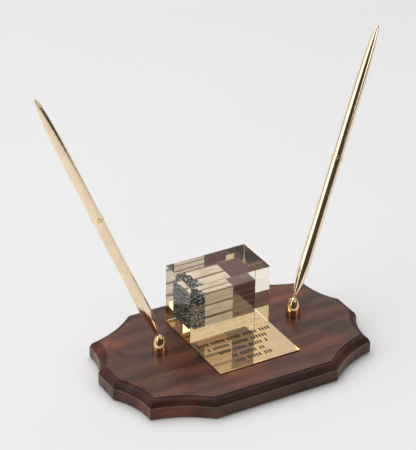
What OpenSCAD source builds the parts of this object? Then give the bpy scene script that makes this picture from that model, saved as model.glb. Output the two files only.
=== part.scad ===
// Desk pen set award: scalloped walnut base, brass plate, clear block, two swivel pens.
// Millimetres, +Z up, origin at the centre of the underside, -Y is the front.

/* [Base board] */
// Overall length of the walnut board
base_l = 178; // [145:1:220]
// Overall depth of the walnut board
base_w = 116; // [95:1:142]
// Thickness of the walnut board
board_t = 12; // [11:0.5:18]
// Height of the rounded edge below the top face
edge_h = 4.6; // [2.5:0.1:5.5]
// Width of the rounded edge, measured inward
edge_w = 5; // [4:0.1:8]
// Half length of the straight front edge, as a share of the half length
front_share = 0.49; // [0.4:0.01:0.6]
// How far out the corner cusps sit, as a share of the half length
cusp_x_share = 0.895; // [0.85:0.005:0.93]
// How far out the corner cusps sit, as a share of the half depth
cusp_y_share = 0.694; // [0.62:0.005:0.76]
// Half length of the straight end, as a share of the half depth
end_share = 0.17; // [0.1:0.01:0.25]
// Depth of each scallop between its two ends
scallop = 2.9; // [1.5:0.1:4.5]
// Thickness of the felt under the board
felt_t = 0.7; // [0.4:0.1:2]

/* [Plate and block] */
// Width of the brass plate and of the clear block standing on it
block_w = 57.6; // [48:0.2:70]
// Depth of the clear block, front to back
block_d = 32; // [26:0.5:40]
// Height of the clear block
block_h = 41; // [34:0.5:52]
// Depth of the brass plate, front to back
plate_d = 70; // [56:0.5:84]
// Thickness of the brass plate
plate_t = 0.6; // [0.4:0.1:1.2]
// Sideways offset of the plate from the middle of the board
plate_x = 1.9; // [-3:0.1:3]
// Backward offset of the plate from the middle of the board
plate_y = 1.4; // [-3:0.1:3]
// Depth of the engraved marks
engrave_d = 0.12; // [0.08:0.01:0.2]

/* [Embedded sample] */
// Length of the embedded sample, along the block
sample_l = 45; // [37:0.5:47]
// Depth of the embedded sample, front to back
sample_d = 19.7; // [15:0.1:22]
// Height of the embedded sample
sample_h = 24; // [18:0.5:28]
// Share of the sample that is charred
char_share = 0.19; // [0.12:0.01:0.28]
// Share of the sample behind its bond line
backing_share = 0.36; // [0.25:0.01:0.42]

/* [Pen holders] */
// Distance between the two holders, as a share of the board length
holder_share = 0.543; // [0.5:0.005:0.58]
// Largest radius of a holder
holder_r = 4.85; // [4.5:0.05:6]
// Radius of the swivel ball
ball_r = 2.4; // [2.2:0.05:2.8]
// Height of the ball's centre above the board
ball_z = 10; // [9:0.1:12]

/* [Pens] */
// Length of a pen from the front of its nose to its tail
pen_l = 181; // [150:1:218]
// Radius of the pen barrel
pen_r = 3.5; // [3.2:0.05:4.2]
// Lean of the left pen from upright, degrees
left_lean = 23.3; // [0:0.1:40]
// Compass direction the left pen leans towards, degrees from +X
left_turn = 159.8; // [76:0.1:254]
// Lean of the right pen from upright, degrees
right_lean = 32.6; // [0:0.1:40]
// Compass direction the right pen leans towards, degrees from +X
right_turn = 28.8; // [-74:0.1:104]

/* [Hidden] */

// Board outline
half_l = base_l / 2;
half_w = base_w / 2;
front_x = front_share * half_l;
cusp_x = cusp_x_share * half_l;
cusp_y = cusp_y_share * half_w;
end_y = end_share * half_w;
board_z = felt_t;
top_z = board_z + board_t;
ledge_w = 0.5;
step_h = 0.5;
felt_inset = 2;

// Levels above the board
adhesive_t = 0.15;
adhesive_inset = 1;
plate_z = top_z + adhesive_t;
plate_top_z = plate_z + plate_t;
bond_t = 0.1;
bond_inset = 0.4;
block_z = plate_top_z + bond_t;
plate_back_y = plate_y + plate_d / 2;
block_mid_y = plate_back_y - block_d / 2;

// Sample inside the block
sample_x0 = plate_x - block_w / 2 + 0.06 * block_w;
sample_y0 = block_mid_y - block_d / 2 + 0.15 * block_d;
sample_z0 = block_z + 0.2 * block_h;
char_l = char_share * sample_l;
backing_l = backing_share * sample_l;
char_steps = 12;

// Holders
holder_mid_x = 1.2;
holder_mid_y = 6.2;
holder_skew = 1.2;
holder_dx = holder_share * half_l;
run_fit = 0.05;
plug_r = 3.3;
plug_h = 2.6;
throat_z = ball_z - 3;
rim_z = ball_z + 1;
rim_r = ball_r + 0.12;
skirt_z = 0.26 * rim_z;
seat_z = plug_h + 2;
seat_shoulder_z = throat_z - 0.1;
seat_top_z = ball_z - 1.4;
spring_wire_r = 0.28;
spring_turns = 2.5;
spring_r = plug_r - 2 * spring_wire_r - 0.1;
stud_r = 2;
stud_fit = 0.1;
pocket_h = 5;
pocket_r = 5.5;
washer_t = 0.8;
washer_r = 4.5;
nut_h = 3.2;
nut_flats = 7;
stud_l = board_t - 0.5;
neck_r = 0.9;
neck_end = ball_r + 2.2;
lip_r = 1.15;
lip_h = 0.7;
tip_r = 0.56;
tip_fit = 0.06;
socket_deep = 1.4;

// Pens, measured along the pen from the front of its nose
nose_gap = 0.1;
nose_at = neck_end + nose_gap;
nose_r = 1.5;
belly_t = 0.12 * pen_l;
belly_r = pen_r + 0.25;
joint_t = 0.278 * pen_l;
ring_t = 0.496 * pen_l;
ring_w = 3;
ring_proud = 0.3;
tip_out = nose_at + socket_deep - 0.35;
point_taper = 0.8;
refill_r = 1.17;
refill_fit = 0.08;
refill_back = 67 - tip_out;
shoulder_t = 8;
insert_r = 2.55;
insert_fit = 0.05;
insert_in = 3.6;
insert_back = 9;
bore_r = pen_r - 0.55;
barrel_wall_end = 0.6;
tail_hollow = 0.84;
tail_wall = 0.6;
spigot_l = 9;
chamfer = 0.15;
lathe_steps = 26;

$fn = 64;

// ---- Placement ----

function holder_pos(side) =
    [holder_mid_x + side * holder_dx, holder_mid_y - side * holder_skew, top_z];

function lean_of(side) = side < 0 ? left_lean : right_lean;
function turn_of(side) = side < 0 ? left_turn : right_turn;

module at_holder(side) {
    translate(holder_pos(side)) children();
}

// Local z runs from the ball's centre towards the pen's tail
module at_ball(side) {
    at_holder(side)
        translate([0, 0, ball_z])
            rotate([0, 0, turn_of(side)])
                rotate([0, lean_of(side), 0])
                    children();
}

// Local z = 0 is the front of the pen's nose
module at_pen(side) {
    at_ball(side) translate([0, 0, nose_at]) children();
}

// ---- Board outline: straight edges joined by pairs of scallops that meet in a cusp ----

function chord(a, b) = norm(b - a);
function arc_r(a, b) = (pow(chord(a, b) / 2, 2) + scallop * scallop) / (2 * scallop);
// Centre of the scallop from a to b, outside the board
function arc_c(a, b) =
    (a + b) / 2 + [a[1] - b[1], b[0] - a[0]] / chord(a, b) * (arc_r(a, b) - scallop);

front_end = [front_x, half_w];
cusp = [cusp_x, cusp_y];
side_end = [half_l, end_y];
scallops = [[front_end, cusp], [cusp, side_end]];

// The board outline moved inward by the given inset
module outline(inset) {
    difference() {
        square([base_l - 2 * inset, base_w - 2 * inset], center = true);
        for (sx = [-1, 1])
            for (sy = [-1, 1])
                for (s = scallops)
                    translate([sx * arc_c(s[0], s[1])[0], sy * arc_c(s[0], s[1])[1]])
                        circle(r = arc_r(s[0], s[1]) + inset, $fn = 160);
    }
}

// Section cut away above the quarter round: x is the inset from the edge, y the height.
// A small ledge is left at its foot and a small step at its top.
function ovolo_curve(n) = [for (i = [0:n])
    [ledge_w + (edge_w - ledge_w) * (1 - cos(90 * i / n)),
        -edge_h + (edge_h - step_h) * sin(90 * i / n)]];

module edge_section(out) {
    polygon(concat([[-out, -edge_h]], ovolo_curve(10), [[edge_w, 1], [-out, 1]]));
}

module straight_edge(away, turn) {
    rotate([0, 0, turn])
        translate([-away, 0, top_z])
            rotate([90, 0, 0])
                translate([0, 0, -base_l])
                    linear_extrude(2 * base_l)
                        edge_section(2);
}

module straight_edges() {
    straight_edge(half_l, 0);
    straight_edge(half_l, 180);
    straight_edge(half_w, 90);
    straight_edge(half_w, 270);
}

module scallop_edges() {
    for (sx = [-1, 1])
        for (sy = [-1, 1])
            for (s = scallops)
                translate([sx * arc_c(s[0], s[1])[0], sy * arc_c(s[0], s[1])[1], top_z])
                    rotate_extrude($fn = 160)
                        translate([arc_r(s[0], s[1]), 0])
                            edge_section(2);
}

// ---- Board parts ----

module stud_holes() {
    for (side = [-1, 1])
        translate([holder_pos(side)[0], holder_pos(side)[1], 0]) {
            translate([0, 0, board_z - 1])
                cylinder(r = stud_r + stud_fit, h = board_t + 2);
            translate([0, 0, board_z - 1])
                cylinder(r = pocket_r, h = pocket_h + 1);
        }
}

module plaque_base() {
    color([0.33, 0.19, 0.13])
        difference() {
            translate([0, 0, board_z]) linear_extrude(board_t) outline(0);
            straight_edges();
            scallop_edges();
            stud_holes();
        }
}

module felt_pad() {
    color([0.12, 0.22, 0.16])
        linear_extrude(felt_t) outline(felt_inset);
}

// ---- Plate ----

module plate_adhesive() {
    color([0.85, 0.83, 0.75])
        translate([plate_x - block_w / 2 + adhesive_inset,
            plate_y - plate_d / 2 + adhesive_inset, top_z])
            cube([block_w - 2 * adhesive_inset, plate_d - 2 * adhesive_inset, adhesive_t]);
}

mark_h = 3.3;
mark_w = 1.15;
mark_pitch = 1.95;
row_pitch = 6.1;
first_row = 5.6;
// Widths of the engraved rows, as shares of the plate width, front of the block first
row_shares = [0.92, 0.8, 0.62, 0.44, 0.5];

// A stroke is skipped now and then so that a row reads as separate groups
function is_gap(row, i) = (i + 3 * row) % (6 + row % 2) == 4;

module engraved_rows() {
    for (row = [0:len(row_shares) - 1]) {
        row_w = row_shares[row] * block_w;
        count = floor(row_w / mark_pitch);
        row_y = plate_back_y - block_d - first_row - row * row_pitch;
        for (i = [0:count - 1])
            if (!is_gap(row, i))
                translate([plate_x - count * mark_pitch / 2 + i * mark_pitch,
                    row_y - mark_h / 2])
                    square([mark_w, mark_h]);
    }
}

module engraved_plate() {
    color([0.86, 0.66, 0.35])
        difference() {
            translate([plate_x - block_w / 2, plate_y - plate_d / 2, plate_z])
                cube([block_w, plate_d, plate_t]);
            translate([0, 0, plate_top_z - engrave_d])
                linear_extrude(1) engraved_rows();
        }
}

// ---- Block and sample ----

module block_bond() {
    color([0.95, 0.93, 0.8, 0.5])
        translate([plate_x - block_w / 2 + bond_inset,
            block_mid_y - block_d / 2 + bond_inset, plate_top_z])
            cube([block_w - 2 * bond_inset, block_d - 2 * bond_inset, bond_t]);
}

module acrylic_block() {
    color([0.93, 0.92, 0.78, 0.35])
        difference() {
            translate([plate_x - block_w / 2, block_mid_y - block_d / 2, block_z])
                cube([block_w, block_d, block_h]);
            sample_outline();
        }
}

// Uneven line where the charred layer meets the sound core
function char_edge(i) = char_l
    + (i == 0 ? 0 : 0.9 * sin(97 * i) + 0.6 * sin(211 * i) - 0.25 * i + 0.4);
function char_line() = [for (i = [0:char_steps])
    [char_edge(i), sample_d * i / char_steps]];

// Burnt outer end, slightly rough
function burnt_end() = [for (i = [char_steps:-1:0])
    [0.45 + 0.45 * sin(143 * i), sample_d * i / char_steps]];

module at_sample() {
    translate([sample_x0, sample_y0, sample_z0]) children();
}

module char_shape() {
    linear_extrude(sample_h) polygon(concat(char_line(), burnt_end()));
}

module core_shape() {
    linear_extrude(sample_h)
        polygon(concat([[sample_l - backing_l, 0], [sample_l - backing_l, sample_d]],
            [for (i = [char_steps:-1:0]) char_line()[i]]));
}

module backing_shape() {
    translate([sample_l - backing_l, 0, 0]) cube([backing_l, sample_d, sample_h]);
}

module sample_outline() {
    at_sample()
        linear_extrude(sample_h)
            polygon(concat([[sample_l, 0], [sample_l, sample_d]], burnt_end()));
}

module sample_char_layer() {
    color([0.1, 0.1, 0.1]) at_sample() char_shape();
}

module sample_core() {
    color([0.83, 0.76, 0.64]) at_sample() core_shape();
}

module sample_backing() {
    color([0.35, 0.1, 0.1]) at_sample() backing_shape();
}

// ---- Pen holders ----

// Bullet-shaped outside of a holder above its skirt, radius against height
function dome_curve(n) = [for (i = [0:n])
    let (a = i / n)
        [rim_r + (holder_r - rim_r) * (1 - pow(a, 1.6)), skirt_z + (rim_z - skirt_z) * a]];

module dome_outside() {
    rotate_extrude()
        polygon(concat([[0, 0], [holder_r - 0.15, 0], [holder_r, 0.2]],
            dome_curve(16), [[0, rim_z]]));
}

module holder_shell(side) {
    color([0.9, 0.7, 0.4])
        at_holder(side)
            difference() {
                dome_outside();
                translate([0, 0, -1]) cylinder(r = plug_r, h = throat_z + 1);
                cylinder(r = ball_r + run_fit, h = ball_z);
                translate([0, 0, ball_z]) sphere(r = ball_r + run_fit);
            }
}

module holder_stud(side) {
    color([0.72, 0.72, 0.7])
        at_holder(side) {
            cylinder(r = plug_r, h = plug_h);
            translate([0, 0, -stud_l]) cylinder(r = stud_r, h = stud_l + 0.01);
        }
}

module holder_washer(side) {
    color([0.7, 0.7, 0.68])
        at_holder(side)
            translate([0, 0, -board_t + pocket_h - washer_t])
                difference() {
                    cylinder(r = washer_r, h = washer_t);
                    translate([0, 0, -1]) cylinder(r = stud_r + stud_fit, h = washer_t + 2);
                }
}

module holder_nut(side) {
    color([0.75, 0.72, 0.6])
        at_holder(side)
            translate([0, 0, -board_t + pocket_h - washer_t - nut_h])
                difference() {
                    cylinder(r = nut_flats / 2 / cos(30), h = nut_h, $fn = 6);
                    translate([0, 0, -1]) cylinder(r = stud_r, h = nut_h + 2);
                }
}

// Round wire wound into a short coil
module seat_spring(side) {
    ring = 8;
    per_turn = 24;
    steps = round(spring_turns * per_turn);
    low = plug_h + spring_wire_r + 0.02;
    high = seat_z - spring_wire_r - 0.08;
    pts = [for (i = [0:steps]) for (k = [0:ring - 1])
        let (a = 360 * i / per_turn, b = 360 * k / ring,
            r = spring_r + spring_wire_r * cos(b))
            [r * cos(a), r * sin(a), low + (high - low) * i / steps + spring_wire_r * sin(b)]];
    sides = [for (i = [0:steps - 1]) for (k = [0:ring - 1])
        [i * ring + k, (i + 1) * ring + k,
            (i + 1) * ring + (k + 1) % ring, i * ring + (k + 1) % ring]];
    ends = [[for (k = [0:ring - 1]) k], [for (k = [ring - 1:-1:0]) steps * ring + k]];
    color([0.75, 0.75, 0.75])
        at_holder(side)
            polyhedron(points = pts, faces = concat(sides, ends), convexity = 6);
}

module ball_seat(side) {
    color([0.92, 0.92, 0.88])
        at_holder(side)
            difference() {
                union() {
                    translate([0, 0, seat_z])
                        cylinder(r = plug_r - run_fit, h = seat_shoulder_z - seat_z);
                    translate([0, 0, seat_z])
                        cylinder(r = ball_r, h = seat_top_z - seat_z);
                }
                translate([0, 0, ball_z]) sphere(r = ball_r + run_fit);
            }
}

module swivel_ball(side) {
    color([0.88, 0.68, 0.38])
        at_ball(side)
            difference() {
                union() {
                    sphere(r = ball_r);
                    cylinder(r = neck_r, h = neck_end);
                    translate([0, 0, neck_end - lip_h])
                        rotate_extrude()
                            polygon([[0, 0], [neck_r, 0], [lip_r, 0.2],
                                [lip_r, lip_h - 0.15], [lip_r - 0.15, lip_h], [0, lip_h]]);
                }
                translate([0, 0, -socket_deep])
                    cylinder(r = tip_r + tip_fit, h = neck_end + socket_deep + 1);
            }
}

// ---- Pens ----

// Nose that swells from nose_r to its belly, then draws in a little towards the barrel
joint_r = pen_r - 0.08;
joint_at = joint_t - chamfer;
function nose_front(n) = [for (i = [0:n])
    [nose_r + (belly_r - nose_r) * pow(sin(90 * i / n), 0.8), belly_t * i / n]];
function nose_back(n) = [for (i = [1:n])
    [joint_r + (belly_r - joint_r) * (1 + cos(180 * i / n)) / 2,
        belly_t + (joint_at - belly_t) * i / n]];

// Bullet-shaped tail: radius at share a of its length, which starts behind the ring
function tail_r(a) = (pen_r - 0.1 + 0.12 * sin(180 * min(1, a * 1.4)))
    * pow(max(0, 1 - pow(a, 4.6)), 0.5);
function tail_at(a) = ring_t + ring_w + (pen_l - ring_t - ring_w) * a;

function tail_curve(n) = [for (i = [0:n]) [tail_r(sin(90 * i / n)), tail_at(sin(90 * i / n))]];

// Inside of the tail, from its closed end back to the ring
function tail_bore(n) = [for (i = [n:-1:0])
    [tail_r(tail_hollow * i / n) - tail_wall, tail_at(tail_hollow * i / n)]];

module pen_nose(side) {
    color([0.92, 0.75, 0.48])
        at_pen(side)
            rotate_extrude()
                polygon(concat([[tip_r + refill_fit, 0], [nose_r - 0.2, 0]],
                    nose_front(lathe_steps), nose_back(12),
                    [[joint_r - chamfer, joint_t], [insert_r + insert_fit, joint_t],
                        [insert_r + insert_fit, joint_t - insert_in - 0.6],
                        [refill_r + refill_fit, joint_t - insert_in - 0.6],
                        [refill_r + refill_fit, shoulder_t],
                        [tip_r + refill_fit, shoulder_t - 1]]));
}

module writing_tip(side) {
    color([0.8, 0.62, 0.35])
        at_pen(side)
            rotate_extrude()
                polygon([[0, -tip_out], [0.22, -tip_out], [0.36, -tip_out + 0.25],
                    [tip_r, -tip_out + point_taper], [tip_r, shoulder_t - 0.9],
                    [refill_r, shoulder_t + 0.1], [refill_r, shoulder_t + 1],
                    [0, shoulder_t + 1]]);
}

module refill_tube(side) {
    color([0.75, 0.76, 0.78])
        at_pen(side)
            translate([0, 0, shoulder_t + 1])
                difference() {
                    cylinder(r = refill_r, h = refill_back - shoulder_t - 1);
                    translate([0, 0, 1])
                        cylinder(r = refill_r - 0.2, h = refill_back);
                }
}

module pen_insert(side) {
    color([0.82, 0.63, 0.33])
        at_pen(side)
            translate([0, 0, joint_t - insert_in])
                difference() {
                    cylinder(r = insert_r, h = insert_in + insert_back);
                    translate([0, 0, -1])
                        cylinder(r = refill_r + refill_fit, h = insert_in + insert_back + 2);
                }
}

module pen_barrel(side) {
    color([0.92, 0.75, 0.48])
        at_pen(side)
            rotate_extrude()
                polygon([[insert_r, joint_t + 0.02], [joint_r - chamfer, joint_t + 0.02],
                    [joint_r, joint_t + chamfer], [pen_r, ring_t],
                    [bore_r, ring_t], [bore_r, joint_t + insert_back + barrel_wall_end],
                    [insert_r, joint_t + insert_back]]);
}

module centre_ring(side) {
    ring_r = pen_r + ring_proud;
    color([0.95, 0.78, 0.5])
        at_pen(side)
            rotate_extrude()
                polygon([[bore_r, ring_t], [ring_r - 0.2, ring_t], [ring_r, ring_t + 0.2],
                    [ring_r, ring_t + 1], [ring_r - 0.15, ring_t + 1.2],
                    [ring_r - 0.15, ring_t + ring_w - 1.2], [ring_r, ring_t + ring_w - 1],
                    [ring_r, ring_t + ring_w - 0.2], [ring_r - 0.2, ring_t + ring_w],
                    [bore_r, ring_t + ring_w]]);
}

module pen_tail(side) {
    color([0.92, 0.75, 0.48])
        at_pen(side)
            rotate_extrude()
                polygon(concat([[bore_r - tail_wall, ring_t - spigot_l],
                    [bore_r, ring_t - spigot_l], [bore_r, tail_at(0)]],
                    tail_curve(lathe_steps), [[0, tail_at(tail_hollow) + 1]],
                    tail_bore(lathe_steps)));
}

plaque_base();
felt_pad();
plate_adhesive();
engraved_plate();
block_bond();
acrylic_block();
sample_char_layer();
sample_core();
sample_backing();
holder_shell(-1);  // left_holder_shell
holder_stud(-1);  // left_holder_stud
holder_washer(-1);  // left_holder_washer
holder_nut(-1);  // left_holder_nut
seat_spring(-1);  // left_seat_spring
ball_seat(-1);  // left_ball_seat
swivel_ball(-1);  // left_swivel_ball
pen_nose(-1);  // left_pen_nose
refill_tube(-1);  // left_refill_tube
writing_tip(-1);  // left_writing_tip
pen_insert(-1);  // left_pen_insert
pen_barrel(-1);  // left_pen_barrel
centre_ring(-1);  // left_centre_ring
pen_tail(-1);  // left_pen_tail
holder_shell(1);  // right_holder_shell
holder_stud(1);  // right_holder_stud
holder_washer(1);  // right_holder_washer
holder_nut(1);  // right_holder_nut
seat_spring(1);  // right_seat_spring
ball_seat(1);  // right_ball_seat
swivel_ball(1);  // right_swivel_ball
pen_nose(1);  // right_pen_nose
refill_tube(1);  // right_refill_tube
writing_tip(1);  // right_writing_tip
pen_insert(1);  // right_pen_insert
pen_barrel(1);  // right_pen_barrel
centre_ring(1);  // right_centre_ring
pen_tail(1);  // right_pen_tail
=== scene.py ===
"""Desk pen set award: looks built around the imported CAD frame, in metres."""
import math
import random

import bmesh
import bpy
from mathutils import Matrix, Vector


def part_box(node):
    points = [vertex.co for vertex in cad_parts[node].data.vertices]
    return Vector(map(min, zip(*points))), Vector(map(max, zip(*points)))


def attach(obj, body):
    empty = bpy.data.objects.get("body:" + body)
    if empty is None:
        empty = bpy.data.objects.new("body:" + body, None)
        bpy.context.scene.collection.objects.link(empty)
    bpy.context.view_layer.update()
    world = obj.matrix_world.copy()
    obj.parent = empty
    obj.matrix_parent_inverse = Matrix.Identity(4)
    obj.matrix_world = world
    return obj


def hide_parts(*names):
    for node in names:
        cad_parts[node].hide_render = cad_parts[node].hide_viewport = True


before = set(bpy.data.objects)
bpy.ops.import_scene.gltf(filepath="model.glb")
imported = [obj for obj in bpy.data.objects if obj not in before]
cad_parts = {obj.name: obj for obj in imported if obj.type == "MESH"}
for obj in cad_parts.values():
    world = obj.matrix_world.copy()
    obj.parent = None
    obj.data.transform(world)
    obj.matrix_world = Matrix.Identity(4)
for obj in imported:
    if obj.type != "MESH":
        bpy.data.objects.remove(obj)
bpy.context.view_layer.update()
MM = 0.001
SIDES = ("left", "right")

# Height of the board's rounded edge, as in the CAD source.
EDGE_DROP = 4.6 * MM

# Depths below the plate's top face between which bare brass turns into the dark of a cut.
CUT_STARTS = 0.01 * MM
CUT_FULL = 0.04 * MM

# Widths of the chamfers added to the board, the plate and the clear block, and how they are cut.
# The angle is in degrees.
BOARD_SOFTENING = 0.35 * MM
PLATE_SOFTENING = 0.05 * MM
BLOCK_CHAMFER = 0.25 * MM
SOFT_SEGMENTS = 2
SOFT_ANGLE = 35

# How far the clear block's foot sinks into the plate's top face.
BLOCK_SINK = 0.02 * MM

# The burnt layer: mesh edges over CHAR_EDGE are halved, CHAR_PASSES times, and then the points
# move inward by up to CHAR_DEPTH.
CHAR_EDGE = 0.9 * MM
CHAR_PASSES = 5
CHAR_DEPTH = 0.35 * MM
CHAR_SEED = 11
SAME_POINT = 0.001 * MM

# The floor is a square of cells just under height 0, moved towards the back.
FLOOR_DROP = 0.2 * MM
FLOOR_SIZE = 6.0
FLOOR_CELLS = 12
FLOOR_BACK = 1.2

# The world's brightness by direction, from place 0 (towards the viewer) to place 1 (behind the part).
FRONT_PLACE, FRONT_GREY = 0.42, (0.055, 0.05, 0.045, 1)
BACK_PLACE, BACK_GREY = 0.72, (0.66, 0.655, 0.65, 1)
LIGHTS_AIM = Vector((0, 0, 0.05))

bpy.context.scene.view_settings.view_transform = "Standard"
bpy.context.scene.view_settings.look = "None"


# ---------------------------------------------------------------- camera

# Fitted to the photo. Angles are in degrees, the lens and sensor in millimetres, the rest in metres.
CAMERA_AZIMUTH = -30.27
CAMERA_ELEVATION = 29.49
CAMERA_ROLL = 0.9
CAMERA_DISTANCE = 1.3208
CAMERA_LENS = 169.9
CAMERA_SENSOR = 36
CAMERA_TARGET = Vector((-0.0059, 0.0204, 0.0862))


def make_camera():
    az, el = math.radians(CAMERA_AZIMUTH), math.radians(CAMERA_ELEVATION)
    back = Vector((math.sin(az) * math.cos(el), -math.cos(az) * math.cos(el), math.sin(el)))
    data = bpy.data.cameras.new("camera")
    data.lens = CAMERA_LENS
    data.sensor_width = CAMERA_SENSOR
    cam = bpy.data.objects.new("camera", data)
    cam.location = CAMERA_TARGET + back * CAMERA_DISTANCE
    cam.rotation_euler = (-back).to_track_quat("-Z", "Y").to_euler()
    cam.rotation_euler.rotate_axis("Z", math.radians(CAMERA_ROLL))
    bpy.context.scene.collection.objects.link(cam)
    bpy.context.scene.camera = cam


# ---------------------------------------------------------------- node helpers

class Shade:
    """A material and short names for the nodes built in it."""

    def __init__(self, name):
        self.mat = bpy.data.materials.new(name)
        self.mat.use_nodes = True
        self.nodes = self.mat.node_tree.nodes
        self.links = self.mat.node_tree.links
        self.bsdf = self.nodes["Principled BSDF"]
        self.coord = self.nodes.new("ShaderNodeTexCoord")

    def set(self, **values):
        """Constants on the shader's sockets; an underscore stands for a space in a socket's name."""
        for name, value in values.items():
            self.bsdf.inputs[name.replace("_", " ")].default_value = value
        return self

    def link(self, out, name):
        self.links.new(out, self.bsdf.inputs[name])

    def stretch(self, scale, turn=(0, 0, 0), shift=(0, 0, 0)):
        """Object coordinates in metres, times scale; turn is in degrees."""
        node = self.nodes.new("ShaderNodeMapping")
        node.inputs["Scale"].default_value = scale
        node.inputs["Rotation"].default_value = [math.radians(a) for a in turn]
        node.inputs["Location"].default_value = shift
        self.links.new(self.coord.outputs["Object"], node.inputs["Vector"])
        return node.outputs["Vector"]

    def even(self, scale, shift=(0, 0, 0)):
        return self.stretch((scale, scale, scale), shift=shift)

    def noise(self, vector, detail=4.0, rough=0.55, distort=0.0):
        """The vector already carries the scale."""
        node = self.nodes.new("ShaderNodeTexNoise")
        node.inputs["Scale"].default_value = 1.0
        node.inputs["Detail"].default_value = detail
        node.inputs["Roughness"].default_value = rough
        node.inputs["Distortion"].default_value = distort
        self.links.new(vector, node.inputs["Vector"])
        return node.outputs["Fac"]

    def cells(self, vector):
        node = self.nodes.new("ShaderNodeTexVoronoi")
        node.inputs["Scale"].default_value = 1.0
        self.links.new(vector, node.inputs["Vector"])
        return node.outputs["Distance"]

    def waves(self, vector, scale, distort, detail=2.0, detail_scale=1.0, way="Y"):
        node = self.nodes.new("ShaderNodeTexWave")
        node.bands_direction = way
        node.inputs["Scale"].default_value = scale
        node.inputs["Distortion"].default_value = distort
        node.inputs["Detail"].default_value = detail
        node.inputs["Detail Scale"].default_value = detail_scale
        self.links.new(vector, node.inputs["Vector"])
        return node.outputs["Fac"]

    def ramp(self, fac, *stops):
        """stops are (position, colour)."""
        node = self.nodes.new("ShaderNodeValToRGB")
        ramp = node.color_ramp
        while len(ramp.elements) < len(stops):
            ramp.elements.new(0.5)
        for element, (at, colour) in zip(ramp.elements, stops):
            element.position = at
            element.color = (*colour, 1)
        self.links.new(fac, node.inputs["Fac"])
        return node.outputs["Color"]

    def span(self, value, low, high, to_low=0.0, to_high=1.0):
        """Maps low..high onto to_low..to_high, and holds the ends."""
        node = self.nodes.new("ShaderNodeMapRange")
        node.inputs["From Min"].default_value = low
        node.inputs["From Max"].default_value = high
        node.inputs["To Min"].default_value = to_low
        node.inputs["To Max"].default_value = to_high
        self.links.new(value, node.inputs["Value"])
        return node.outputs["Result"]

    def math(self, kind, a, b):
        node = self.nodes.new("ShaderNodeMath")
        node.operation = kind
        for socket, value in zip(node.inputs, (a, b)):
            if isinstance(value, (int, float)):
                socket.default_value = value
            else:
                self.links.new(value, socket)
        return node.outputs["Value"]

    def mix(self, fac, a, b, how="MIX"):
        node = self.nodes.new("ShaderNodeMix")
        node.data_type = "RGBA"
        node.blend_type = how
        for name, value in (("Factor", fac), ("A", a), ("B", b)):
            socket = next(s for s in node.inputs if s.name == name and
                          s.type == ("VALUE" if name == "Factor" else "RGBA"))
            if isinstance(value, (int, float)):
                socket.default_value = value
            elif isinstance(value, tuple):
                socket.default_value = (*value, 1)
            else:
                self.links.new(value, socket)
        return next(s for s in node.outputs if s.type == "RGBA")

    def axis(self, name):
        node = self.nodes.new("ShaderNodeSeparateXYZ")
        self.links.new(self.coord.outputs["Object"], node.inputs["Vector"])
        return node.outputs[name]

    def bump(self, height, distance, strength=1.0):
        """Adds a bump on top of any that the material already has."""
        node = self.nodes.new("ShaderNodeBump")
        node.inputs["Strength"].default_value = strength
        node.inputs["Distance"].default_value = distance
        self.links.new(height, node.inputs["Height"])
        if self.bsdf.inputs["Normal"].is_linked:
            self.links.new(self.bsdf.inputs["Normal"].links[0].from_socket, node.inputs["Normal"])
        self.links.new(node.outputs["Normal"], self.bsdf.inputs["Normal"])


# ---------------------------------------------------------------- materials

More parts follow.
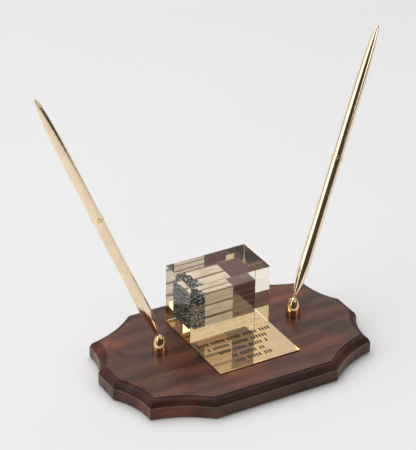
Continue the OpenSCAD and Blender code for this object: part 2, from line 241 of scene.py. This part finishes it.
def walnut():
    """Satin walnut. The rounded edge is darkened by painted shade, and the line along its foot is
    paler with a painted highlight.
    """
    s = Shade("walnut").set(IOR=1.45, Specular_IOR_Level=0.28, Coat_Roughness=0.14)
    grain = s.noise(s.stretch((9, 190, 190)), detail=8.0, rough=0.6, distort=0.5)
    fibres = s.noise(s.stretch((60, 1500, 1500)), detail=4.0, rough=0.6)
    swirl = s.waves(s.stretch((0.5, 1, 1), (0, 0, 4), (0.06, 0.11, 0)), 22, 9.0, detail=3.0,
                    detail_scale=0.6)
    pores = s.noise(s.stretch((170, 4200, 4200)), detail=2.0, rough=0.5)
    patch = s.noise(s.stretch((16, 26, 26), shift=(0.3, 1.7, 0)), detail=3.0)
    knots = s.noise(s.stretch((22, 46, 46), shift=(2.1, 0.4, 0)), detail=2.0, rough=0.5, distort=1.2)
    figure = s.math("ADD", s.math("MULTIPLY", grain, 0.7), s.math("MULTIPLY", swirl, 0.3))
    base = s.ramp(figure, (0.2, (0.046, 0.017, 0.0095)), (0.42, (0.072, 0.028, 0.016)),
                  (0.6, (0.100, 0.041, 0.023)), (0.82, (0.132, 0.057, 0.031)))
    warm = s.mix(s.span(patch, 0.46, 0.68), base,
                 s.mix(1.0, base, (2.15, 1.6, 1.15), "MULTIPLY"))
    knotty = s.mix(s.span(knots, 0.57, 0.72, 0.0, 0.75), warm, (0.020, 0.009, 0.007))
    fine = s.mix(s.span(fibres, 0.3, 0.75, 0.0, 0.3), knotty, (0.030, 0.011, 0.007))
    dark = s.mix(s.span(pores, 0.66, 0.74, 0.0, 0.55), fine, (0.010, 0.004, 0.003))
    low, high = edge_levels()
    height = s.axis("Z")
    on_edge = s.math("MULTIPLY", s.span(height, low - 0.1 * MM, low + 0.2 * MM),
                     s.span(height, high - 0.1 * MM, high - 0.6 * MM))
    # Painted shade: the rounded edge's colour is multiplied darker, in mottled patches.
    mottle = s.noise(s.stretch((70, 260, 260)), detail=4.0)
    edge_painted_shade = s.mix(1.0, dark, s.ramp(mottle, (0.3, (0.34, 0.20, 0.16)), (0.7, (0.66, 0.42, 0.34))),
                  "MULTIPLY")
    with_edge_shade = s.mix(on_edge, dark, edge_painted_shade)
    # Painted highlight: a pale line along the foot of the rounded edge.
    arris_highlight = s.math("MULTIPLY", s.span(height, low - 0.5 * MM, low - 0.1 * MM),
                   s.span(height, low + 0.2 * MM, low - 0.1 * MM))
    s.link(s.mix(s.math("MULTIPLY", arris_highlight, 0.6), with_edge_shade, (0.30, 0.18, 0.12)), "Base Color")
    matt = s.span(fibres, 0.3, 0.7, 0.24, 0.38)
    s.link(s.math("MAXIMUM", matt, s.math("MULTIPLY", on_edge, 0.55)), "Roughness")
    s.link(s.span(on_edge, 0.0, 1.0, 0.16, 0.03), "Coat Weight")
    s.bump(pores, 0.06 * MM, 0.5)
    s.bump(grain, 0.1 * MM, 0.35)
    return s.mat


def felt():
    s = Shade("felt").set(Sheen_Weight=0.4)
    fuzz = s.noise(s.even(900), detail=6.0, rough=0.7)
    blotch = s.noise(s.even(60), detail=3.0)
    s.link(s.ramp(s.math("ADD", s.math("MULTIPLY", fuzz, 0.7), s.math("MULTIPLY", blotch, 0.3)),
                  (0.3, (0.012, 0.03, 0.02)), (0.75, (0.04, 0.085, 0.055))), "Base Color")
    s.link(s.span(fuzz, 0.2, 0.8, 0.85, 1.0), "Roughness")
    s.bump(fuzz, 0.3 * MM, 0.8)
    return s.mat


def engraved_brass():
    """Polished brass, slightly wavy, with dark matt cuts where the CAD plate is engraved."""
    s = Shade("engraved_brass").set(Metallic=1.0)
    blur = s.noise(s.even(60), detail=4.0)
    scratch = s.noise(s.stretch((2600, 45, 400), (0, 0, 23)), detail=3.0)
    tarnish = s.noise(s.even(22, shift=(4, 2, 0)), detail=5.0, rough=0.6)
    metal = s.ramp(tarnish, (0.3, (0.93, 0.68, 0.39)), (0.7, (0.99, 0.80, 0.53)))
    cut = s.span(s.axis("Z"), plate_top() - CUT_STARTS, plate_top() - CUT_FULL)
    s.link(s.mix(cut, metal, (0.012, 0.007, 0.004)), "Base Color")
    s.link(s.math("SUBTRACT", 1.0, s.math("MULTIPLY", cut, 0.95)), "Metallic")
    gloss = s.span(s.math("ADD", blur, s.math("MULTIPLY", scratch, 0.3)), 0.4, 0.9, 0.03, 0.09)
    s.link(s.math("MAXIMUM", gloss, s.math("MULTIPLY", cut, 0.7)), "Roughness")
    s.bump(s.noise(s.stretch((16, 22, 10), shift=(1.2, 0, 0)), detail=1.0), 0.7 * MM)
    s.bump(scratch, 0.003 * MM, 0.5)
    return s.mat


def gold(name, tint):
    """Bright plating, a little paler where it is worn."""
    s = Shade(name).set(Metallic=1.0)
    wear = s.noise(s.even(70), detail=5.0, rough=0.6)
    fine = s.noise(s.even(900), detail=3.0)
    pale = tuple(min(1.0, c * 1.06) for c in tint)
    deep = tuple(c * 0.9 for c in tint)
    s.link(s.ramp(wear, (0.3, deep), (0.7, pale)), "Base Color")
    s.link(s.span(s.math("ADD", wear, s.math("MULTIPLY", fine, 0.4)), 0.4, 1.0, 0.05, 0.16),
           "Roughness")
    s.bump(fine, 0.006 * MM, 0.4)
    return s.mat


def turned_metal(name, colour, rough):
    """Plain metal with fine level lines."""
    s = Shade(name).set(Metallic=1.0)
    lines = s.noise(s.stretch((500, 500, 3000)), detail=3.0)
    tone = s.noise(s.even(120), detail=4.0)
    s.link(s.ramp(tone, (0.3, tuple(c * 0.8 for c in colour)), (0.7, colour)), "Base Color")
    s.link(s.span(lines, 0.3, 0.7, rough * 0.8, rough * 1.3), "Roughness")
    s.bump(lines, 0.01 * MM, 0.5)
    return s.mat


def moulded(name, low, high, rough):
    """Plain plastic, from colour low to colour high."""
    s = Shade(name)
    tone = s.noise(s.even(200), detail=4.0)
    fine = s.noise(s.even(2500), detail=2.0)
    s.link(s.ramp(tone, (0.3, low), (0.7, high)), "Base Color")
    s.link(s.span(fine, 0.3, 0.7, rough * 0.85, rough * 1.15), "Roughness")
    s.bump(fine, 0.02 * MM, 0.4)
    return s.mat


def clear_acrylic():
    """Clear cast acrylic with a faint warm tint and a slight waviness."""
    s = Shade("clear_acrylic").set(IOR=1.49, Roughness=0.0, Transmission_Weight=1.0)
    haze = s.noise(s.even(30), detail=3.0)
    s.link(s.ramp(haze, (0.3, (1.0, 0.950, 0.785)), (0.7, (1.0, 0.958, 0.82))), "Base Color")
    s.bump(s.noise(s.even(14), detail=1.0), 0.4 * MM, 0.35)
    return s.mat


def charred():
    """Black burnt crust with pale specks."""
    s = Shade("charred")
    crust = s.noise(s.even(420), detail=8.0, rough=0.7)
    specks = s.noise(s.even(1000, shift=(3, 1, 2)), detail=3.0, rough=0.6)
    ash = s.noise(s.even(150, shift=(1, 4, 0)), detail=4.0)
    lumps = s.cells(s.even(260))
    base = s.ramp(crust, (0.35, (0.005, 0.005, 0.006)), (0.58, (0.018, 0.018, 0.021)),
                  (0.8, (0.09, 0.09, 0.095)))
    dusted = s.mix(s.span(ash, 0.5, 0.72, 0.0, 0.35), base, (0.14, 0.137, 0.135))
    s.link(s.mix(s.span(specks, 0.57, 0.63), dusted, (0.80, 0.78, 0.74)), "Base Color")
    s.link(s.span(crust, 0.3, 0.7, 0.45, 0.9), "Roughness")
    s.bump(s.math("ADD", crust, lumps), 0.8 * MM, 0.9)
    return s.mat


def striped_core():
    """Cream layers with thin dark lines between them."""
    s = Shade("striped_core")
    plies = s.waves(s.stretch((0.12, 1, 1), (45, 0, 0)), 48, 1.6, detail=3.0, detail_scale=2.0,
                    way="Z")
    thread = s.noise(s.stretch((60, 1500, 1500)), detail=4.0, rough=0.6)
    blotch = s.noise(s.stretch((90, 240, 240)), detail=5.0, rough=0.6)
    cream = s.ramp(blotch, (0.3, (0.60, 0.49, 0.38)), (0.7, (0.86, 0.77, 0.65)))
    lines = s.mix(s.span(plies, 0.14, 0.02, 0.0, 0.95), cream, (0.10, 0.055, 0.035))
    s.link(s.mix(s.span(thread, 0.55, 0.72, 0.0, 0.6), lines, (0.30, 0.19, 0.12)), "Base Color")
    s.link(s.span(thread, 0.3, 0.7, 0.6, 0.85), "Roughness")
    s.bump(thread, 0.1 * MM, 0.6)
    s.bump(plies, 0.3 * MM, 0.5)
    return s.mat


def maroon_backing():
    """Dark red backing with pale lines, under a thin gloss."""
    s = Shade("maroon_backing").set(Coat_Weight=0.5, Coat_Roughness=0.1)
    plies = s.waves(s.stretch((0.1, 1, 1)), 70, 1.2, detail_scale=1.5, way="Z")
    cloud = s.noise(s.stretch((80, 160, 160)), detail=5.0)
    base = s.ramp(cloud, (0.3, (0.045, 0.008, 0.009)), (0.7, (0.10, 0.020, 0.020)))
    s.link(s.mix(s.span(plies, 0.2, 0.0, 0.0, 0.5), base, (0.25, 0.11, 0.08)), "Base Color")
    s.link(s.span(cloud, 0.3, 0.7, 0.3, 0.5), "Roughness")
    s.bump(plies, 0.15 * MM, 0.4)
    return s.mat


def pale_floor():
    s = Shade("pale_floor").set(Roughness=0.6, Specular_IOR_Level=0.2)
    tone = s.noise(s.even(3), detail=3.0)
    s.link(s.ramp(tone, (0.3, (0.80, 0.795, 0.80)), (0.7, (0.815, 0.81, 0.815))), "Base Color")
    return s.mat


# ---------------------------------------------------------------- where things are

def edge_levels():
    """Bottom and top of the board's rounded edge."""
    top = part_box("plaque_base")[1].z
    return top - EDGE_DROP, top


def plate_top():
    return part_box("engraved_plate")[1].z


def node(name):
    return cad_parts[name]


def paint(material, *names):
    for name in names:
        node(name).data.materials.clear()
        node(name).data.materials.append(material)


def both(*parts):
    """The names of these parts on the left and then on the right."""
    return [f"{side}_{part}" for side in SIDES for part in parts]


# ---------------------------------------------------------------- pieces

def soften(obj, width):
    """Rounds the sharp edges by modifiers, which leave the CAD mesh as it is."""
    bevel = obj.modifiers.new("soft_edge", "BEVEL")
    bevel.width = width
    bevel.segments = SOFT_SEGMENTS
    bevel.limit_method = "ANGLE"
    bevel.angle_limit = math.radians(SOFT_ANGLE)
    obj.modifiers.new("even_normals", "WEIGHTED_NORMAL").keep_sharp = True


def new_piece(name, mesh, material, body, *stands_for):
    """A piece that rides on a body and is shown in place of the nodes it stands for."""
    obj = bpy.data.objects.new(name, mesh)
    bpy.context.scene.collection.objects.link(obj)
    obj.data.materials.append(material)
    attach(obj, body)
    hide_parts(*stands_for)
    return obj


def cast_block(material):
    """The clear block, reaching down to the plate, so that it stands for the bond as well."""
    low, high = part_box("acrylic_block")
    foot = plate_top() - BLOCK_SINK
    mesh = bpy.data.meshes.new("cast_block")
    bm = bmesh.new()
    bmesh.ops.create_cube(bm, size=1)
    for v in bm.verts:
        v.co = Vector((low.x if v.co.x < 0 else high.x, low.y if v.co.y < 0 else high.y,
                       foot if v.co.z < 0 else high.z))
    bmesh.ops.bevel(bm, geom=bm.edges[:], offset=BLOCK_CHAMFER, segments=SOFT_SEGMENTS,
                    profile=0.5, affect="EDGES")
    bm.to_mesh(mesh)
    bm.free()
    block = new_piece("cast_block", mesh, material, "stand", "acrylic_block", "block_bond")
    block.visible_shadow = False


def rough_char(material):
    """The burnt layer: a copy of the CAD mesh, cut fine and pitted inward."""
    mesh = node("sample_char_layer").data.copy()
    mesh.name = "burnt_layer"
    mesh.materials.clear()
    bm = bmesh.new()
    bm.from_mesh(mesh)
    bmesh.ops.remove_doubles(bm, verts=bm.verts[:], dist=SAME_POINT)
    for _ in range(CHAR_PASSES):
        long_edges = [e for e in bm.edges if e.calc_length() > CHAR_EDGE]
        bmesh.ops.subdivide_edges(bm, edges=long_edges, cuts=1, use_grid_fill=True)
        bmesh.ops.triangulate(bm, faces=bm.faces[:])
    random.seed(CHAR_SEED)
    for v in bm.verts:
        v.co -= v.normal * (CHAR_DEPTH * random.random() ** 2)
    bm.to_mesh(mesh)
    bm.free()
    new_piece("burnt_layer", mesh, material, "stand", "sample_char_layer")


def floor():
    row = FLOOR_CELLS + 1
    places = [FLOOR_SIZE * (i / FLOOR_CELLS - 0.5) for i in range(row)]
    verts = [(x, y + FLOOR_BACK, -FLOOR_DROP) for y in places for x in places]
    corners = [j * row + i for j in range(FLOOR_CELLS) for i in range(FLOOR_CELLS)]
    faces = [(c, c + 1, c + row + 1, c + row) for c in corners]
    mesh = bpy.data.meshes.new("floor")
    mesh.from_pydata(verts, [], faces)
    obj = bpy.data.objects.new("floor", mesh)
    obj.data.materials.append(pale_floor())
    bpy.context.scene.collection.objects.link(obj)


# ---------------------------------------------------------------- light

def softbox(name, at, size, power):
    """A white rectangular light that faces the part."""
    data = bpy.data.lights.new(name, "AREA")
    data.shape = "RECTANGLE"
    data.size, data.size_y = size
    data.energy = power
    obj = bpy.data.objects.new(name, data)
    obj.location = at
    obj.rotation_euler = (LIGHTS_AIM - Vector(at)).to_track_quat("-Z", "Y").to_euler()
    bpy.context.scene.collection.objects.link(obj)


def surroundings():
    """A world that is bright behind the part and dark towards the viewer."""
    world = bpy.data.worlds.new("studio")
    bpy.context.scene.world = world
    world.use_nodes = True
    nodes, links = world.node_tree.nodes, world.node_tree.links
    back = nodes["Background"]
    coord = nodes.new("ShaderNodeTexCoord")
    split = nodes.new("ShaderNodeSeparateXYZ")
    links.new(coord.outputs["Generated"], split.inputs["Vector"])
    ramp = nodes.new("ShaderNodeValToRGB")
    front, rear = ramp.color_ramp.elements
    front.position, front.color = FRONT_PLACE, FRONT_GREY
    rear.position, rear.color = BACK_PLACE, BACK_GREY
    place = nodes.new("ShaderNodeMapRange")
    place.inputs["From Min"].default_value = -1
    links.new(split.outputs["Y"], place.inputs["Value"])
    links.new(place.outputs["Result"], ramp.inputs["Fac"])
    links.new(ramp.outputs["Color"], back.inputs["Color"])


def studio():
    surroundings()
    softbox("overhead", at=(0.1, 0.5, 1.65), size=(2.0, 2.0), power=20)
    softbox("left_bank", at=(-1.35, 0.1, 1.0), size=(1.5, 1.9), power=13)
    softbox("front_bank", at=(0.95, -1.45, 1.0), size=(1.0, 1.2), power=8)


# ---------------------------------------------------------------- build

def build():
    make_camera()
    studio()
    floor()
    paint(walnut(), "plaque_base")
    paint(felt(), "felt_pad")
    paint(engraved_brass(), "engraved_plate")
    paint(moulded("tape", (0.55, 0.53, 0.46), (0.7, 0.68, 0.6), 0.6), "plate_adhesive")
    paint(striped_core(), "sample_core")
    paint(maroon_backing(), "sample_backing")
    cast_block(clear_acrylic())
    rough_char(charred())
    paint(gold("holder_gold", (0.95, 0.66, 0.36)), *both("holder_shell", "swivel_ball"))
    paint(gold("pen_gold", (0.98, 0.775, 0.55)), *both("pen_nose", "pen_barrel", "pen_tail"))
    paint(gold("ring_gold", (0.97, 0.73, 0.44)), *both("centre_ring"))
    paint(turned_metal("raw_brass", (0.72, 0.5, 0.24), 0.25), *both("writing_tip", "pen_insert"))
    paint(turned_metal("zinc", (0.6, 0.6, 0.6), 0.35),
          *both("holder_stud", "holder_washer", "holder_nut", "seat_spring", "refill_tube"))
    paint(moulded("nylon", (0.75, 0.75, 0.7), (0.85, 0.85, 0.8), 0.45), *both("ball_seat"))
    soften(node("plaque_base"), BOARD_SOFTENING)
    soften(node("engraved_plate"), PLATE_SOFTENING)


build()
